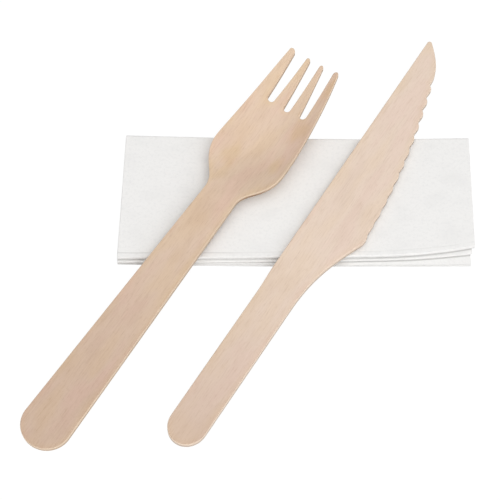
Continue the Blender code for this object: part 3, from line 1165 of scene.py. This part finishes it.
    def _thirds_line(self) -> list[tuple[float, float]]:
        """Runs one strip through the three thirds.

        Returns:
            For each station its place along X and its offset from the layer's middle sheet.
        """
        left, right = self.low.x, self.high.x
        radius = self.sheet_pitch / 2
        line = []
        for third in range(self.thirds):
            offset = self.sheet_pitch * (third - 1)
            ends = [left + radius, right - radius]
            if third == 0:
                ends[0] = left + self.third_short
            if third == self.thirds - 1:
                ends[1] = right - self.third_short
            if third % 2 == 1:
                ends.reverse()
            rim = math.copysign(self.rim, ends[1] - ends[0])
            low, high = ends[0] + rim, ends[1] - rim
            line.append((ends[0], offset))
            line += [(low + (high - low) * i / self.third_steps, offset) for i in range(self.third_steps + 1)]
            line.append((ends[1], offset))
            if third < self.thirds - 1:
                side = 1 if third % 2 == 0 else -1
                for step in range(1, self.fold_steps):
                    turn = math.pi * (step / self.fold_steps - 0.5)
                    out = radius * math.cos(turn) * side
                    line.append((ends[1] + out, offset + radius * (1 + math.sin(turn))))
        return line

    def _settled(self, x: float, y: float, z: float) -> tuple[float, float, float]:
        """Lets the flat stack lie as soft paper does.

        Args:
            x: The point's place in the flat stack.
            y: The same along Y.
            z: The same along Z.

        Returns:
            The point's place once the layers have slipped, swayed and puffed up a little.
        """
        height = z / self.high.z
        along = (x - self.low.x) / (self.high.x - self.low.x)
        back = (y - self.low.y) / self.depth
        sway = noise.noise(Vector((x / self.sway_length, height * self.sway_rise, self.sway_seed)))
        puff = noise.noise(Vector((x / (2 * self.sway_length), y / self.sway_length, self.puff_seed)))
        left = (1 - along) * (self.left_rear * back + self.left_front * (1 - back))
        slipped = self.slip * ease((self.slip_below - height) / self.slip_run)
        right = along * (slipped + self.right_front * (1 - back))
        bow = self.rear_bow * ((along - self.rear_bow_middle) ** 2 - self.rear_bow_level)
        lower = z * (1 + self.puff * (puff - self.puff_level))
        return x - left - right, y + self.sway * sway + bow * back, lower

    def mesh(self) -> bpy.types.Mesh:
        """Builds the folded sheet.

        Returns:
            The mesh, without its thickness.
        """
        stations = self._thirds_line()
        length = self.high.x - self.low.x
        points, unfolded = [], []
        numbers = {name: [] for name in self.numbers}
        rows = 0
        flat_x = 0.0
        last_x = stations[0][0]
        for x, offset in stations:
            share = (x - self.low.x) / length
            line, normals = self._section(share)
            rows = len(line)
            _, second, top = self._front_lines(share)
            opened = ease((share - self.opening_start) / self.opening_run)
            flat_x += abs(x - last_x)
            last_x = x
            runs = np.linalg.norm(np.diff(line, axis=0), axis=1)
            flat_y = np.concatenate([[0.0], np.cumsum(runs)])
            for (y, z), (normal_y, normal_z), along_strip in zip(line, normals, flat_y):
                place = self._settled(x, y + normal_y * offset, z + normal_z * offset)
                points.append(place)
                unfolded.append((flat_x, along_strip, 0.0))
                # How far a fold turns under; the tissue paints shade there.
                under = normal_z if normal_y > 0 else -normal_z
                tucked = max(0.0, under) if y < 0 and normal_y else 0.0
                for name, number in zip(self.numbers, (y - top, y - second, z / self.high.z, opened, tucked)):
                    numbers[name].append(number)
        faces = []
        for station in range(len(stations) - 1):
            for row in range(rows - 1):
                here, there = station * rows + row, (station + 1) * rows + row
                faces.append((here, there, there + 1, here + 1))
        return new_mesh("napkin_sheet", points, faces, unfolded, numbers)

    def build(self, finish: TissueFinish) -> bpy.types.Object:
        """Args:
            finish: Its tissue.

        Returns:
            The napkin.
        """
        piece = show_piece("napkin_tissue", self.mesh(), finish.make(), Node.NAPKIN)
        thick = piece.modifiers.new("tissue", "SOLIDIFY")
        thick.thickness = self.tissue
        thick.offset = 0.0
        return piece


@dataclass(frozen=True)
class Lamp:
    """A large square lamp that faces the middle of the table."""

    name: str
    level: float
    azimuth: float
    elevation: float
    distance: float = 1.3
    size: float = 1.5

    def hang(self) -> None:
        """Adds the lamp to the scene."""
        light = bpy.data.lights.new(self.name, "AREA")
        light.size = self.size
        light.energy = self.level * 4 * math.pi * self.distance**2 / math.sin(self.elevation)
        made = link(self.name, light)
        out = math.cos(self.elevation) * heading(self.azimuth) + Vector((0, 0, math.sin(self.elevation)))
        made.location = out * self.distance
        made.rotation_euler = out.to_track_quat("Z", "Y").to_euler()


@dataclass
class Studio:
    """The pale table, the soft light and the camera."""

    target: Vector = field(default_factory=lambda: Vector((-14.60, -17.07, 0)) * MM)
    distance: float = 481.67 * MM
    elevation: float = math.radians(62)
    camera_heading: float = math.radians(90.65)
    focal_pixels: float = 1551
    sensor: float = 36.0  # millimetres, as Blender has it
    near_clip: float = 0.01
    floor_size: float = 6.0
    floor_drop: float = 0.02 * MM
    floor_tone: Colour = (0.80, 0.80, 0.80)
    floor_glow: float = 0.95
    floor_shadow: float = 0.08
    fill_level: float = 0.43
    lamps: tuple[Lamp, ...] = (
        Lamp("front_lamp", 0.30, math.radians(-76), math.radians(42)),
        Lamp("top_lamp", 0.34, math.radians(-95), math.radians(90)),
    )

    def _seen(self, board: Board) -> Signal:
        """Returns 1 where the camera, a reflection or a clear piece shows the surface."""
        names = ("Is Camera Ray", "Is Glossy Ray", "Is Transmission Ray")
        camera, reflected, clear = [board.node("LightPath", output=name) for name in names]
        return (camera + reflected + clear).within(0.0, 1.0)

    def floor(self) -> bpy.types.Object:
        """Lays the table top: it shows white, and keeps a faint shadow.

        Returns:
            The floor.
        """
        half = self.floor_size / 2
        corners = [(-half, -half), (half, -half), (half, half), (-half, half)]
        mesh = bpy.data.meshes.new("floor")
        mesh.from_pydata([(x, y, -self.floor_drop) for x, y in corners], [], [(0, 1, 2, 3)])
        made = link("floor", mesh)
        material, board, shader = new_material("pale_floor")
        board.feed(shader.inputs["Base Color"], self.floor_tone)
        board.feed(shader.inputs["Roughness"], 1.0)
        board.feed(shader.inputs["Specular IOR Level"], 0.0)
        white = board.node("Emission", sockets={"Color": WHITE, "Strength": self.floor_glow})
        dim = board.node("BsdfDiffuse", sockets={"Color": (self.floor_shadow,) * 3})
        shown = board.node("AddShader", sockets={0: white, 1: dim})
        plain = Signal(board, shader.outputs[0])
        whole = board.node("MixShader", sockets={0: self._seen(board), 1: plain, 2: shown})
        board.feed(material.node_tree.nodes["Material Output"].inputs["Surface"], whole)
        mesh.materials.append(material)
        made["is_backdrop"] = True
        return made

    def lights(self) -> None:
        """Adds an even sky and the large soft lamps."""
        world = bpy.data.worlds.new("soft_room")
        bpy.context.scene.world = world
        world.use_nodes = True
        board = Board(world.node_tree)
        lit = board.node("Background", sockets={"Color": WHITE, "Strength": self.fill_level})
        seen = board.node("Background", sockets={"Color": WHITE, "Strength": 1.0})
        whole = board.node("MixShader", sockets={0: self._seen(board), 1: lit, 2: seen})
        board.feed(world.node_tree.nodes["World Output"].inputs["Surface"], whole)
        for lamp in self.lamps:
            lamp.hang()

    def camera(self) -> None:
        """Sets the camera where the photograph was taken from."""
        lens = bpy.data.cameras.new("camera")
        lens.sensor_width = self.sensor
        lens.lens = self.focal_pixels / PICTURE_WIDTH * self.sensor
        lens.clip_start = self.near_clip
        made = link("camera", lens)
        back = -math.cos(self.elevation) * heading(self.camera_heading)
        back += Vector((0, 0, math.sin(self.elevation)))
        made.location = self.target + self.distance * back
        made.rotation_euler = back.to_track_quat("Z", "Y").to_euler()
        bpy.context.scene.camera = made

    def build(self) -> None:
        """Builds the floor, the lights and the camera, and keeps colours as they are written."""
        self.floor()
        self.lights()
        self.camera()
        bpy.context.scene.view_settings.view_transform = "Standard"
        log.info("studio: floor, %d lamps and camera", len(self.lamps))


OCHRE = (0.960, 0.930, 0.800)
# a tan stain that is partly painted shade
TAN_STAIN_AND_SHADE = (0.930, 0.920, 0.890)
RUSSET = (0.960, 0.935, 0.910)
# painted light
PAINTED_LIGHT = (1.050, 1.050, 1.060)

FORK_BIRCH = BirchFinish(
    slot=Slot.FORK_WOOD,
    tone=(0.719, 0.553, 0.428),
    handle_tone=(0.600, 0.443, 0.340),
    blush=(1.000, 0.960, 0.985),
    straw=(0.995, 0.985, 0.935),
    fibre=(0.840, 0.790, 0.740),
    pale=(1.025, 1.035, 1.045),
    # cut: end-grain tone, partly painted light on the rounded top
    cut=(0.800, 0.640, 0.490),
    # pressed: scorch and painted shade on the lower cut edge
    pressed=(0.560, 0.410, 0.290),
    # scorch and painted shade on the lower cut edge beside the neck, under the dish's rim
    scorch_and_shade=Patch((0.600, 0.500, 0.420), 102.0 * MM, -8.5 * MM, 9.0 * MM, 6.0 * MM, 1.0),
    handle_end=15 * MM,
    head_start=105 * MM,
    patches=(
        Patch(RUSSET, 92.0 * MM, 0.0 * MM, 16.0 * MM, 12.0 * MM, 1.0),
        Patch(OCHRE, 129.5 * MM, -8.0 * MM, 6.5 * MM, 4.2 * MM, 1.0),
        Patch(OCHRE, 115.5 * MM, -8.5 * MM, 5.0 * MM, 3.0 * MM, 0.8),
        Patch(OCHRE, 111.5 * MM, 6.0 * MM, 7.0 * MM, 4.0 * MM, 0.8),
        Patch(OCHRE, 105.0 * MM, 4.5 * MM, 6.0 * MM, 2.6 * MM, 0.6),
        Patch(OCHRE, 145.5 * MM, -9.2 * MM, 6.0 * MM, 1.6 * MM, 0.8),
        # painted shade where the neck dips into the dish, partly a tan stain
        Patch(TAN_STAIN_AND_SHADE, 110.0 * MM, -3.0 * MM, 15.0 * MM, 10.0 * MM, 0.8),
        # painted light on the bowl's right side, which the lamps leave darker
        Patch(PAINTED_LIGHT, 120.0 * MM, -6.0 * MM, 11.0 * MM, 6.0 * MM, 0.5),
        Patch(RUSSET, 118.0 * MM, 8.0 * MM, 12.0 * MM, 5.0 * MM, 0.6),
    ),
    pattern=0.9,
)

KNIFE_BIRCH = BirchFinish(
    slot=Slot.KNIFE_WOOD,
    tone=(0.786, 0.637, 0.528),
    handle_tone=(0.660, 0.504, 0.405),
    blush=(1.000, 0.978, 0.990),
    straw=(0.995, 0.985, 0.950),
    fibre=(0.850, 0.810, 0.770),
    pale=(1.025, 1.030, 1.035),
    # cut: end-grain tone, partly painted light on the rounded top
    cut=(0.840, 0.690, 0.560),
    # pressed: scorch and painted shade on the lower cut edge
    pressed=(0.600, 0.480, 0.390),
    # painted shade, with some scorch, on the lower cut edge along the teeth
    scorch_and_shade=Patch((0.780, 0.740, 0.700), 110.0 * MM, -9.0 * MM, 40.0 * MM, 9.0 * MM, 1.0),
    handle_end=0 * MM,
    head_start=75 * MM,
    pattern=2.3,
)

WHITE_TISSUE = TissueFinish(
    slot=Slot.NAPKIN_PAPER,
    tone=(0.880, 0.872, 0.858),
    shade=(0.800, 0.795, 0.785),
    crevice_shade=(0.620, 0.615, 0.600),
    crimp_behind=1.75 * MM,
    crimp_width=0.35 * MM,
    shadow_line_ahead=0.12 * MM,
    shadow_line_width=0.36 * MM,
)


def main() -> None:
    """Builds the studio and the three pieces."""
    logging.basicConfig(level=logging.INFO, format="%(message)s")
    Studio().build()
    Napkin().build(WHITE_TISSUE)
    Knife().build(KNIFE_BIRCH)
    Fork().build(FORK_BIRCH)
    boxes = {"cad": [list(corner) for corner in CAD_BOX], "visual": [list(corner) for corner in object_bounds()]}
    for name, (low, high) in boxes.items():
        log.info("%s box: %s to %s", name, low, high)


if __name__ == "__main__":
    main()
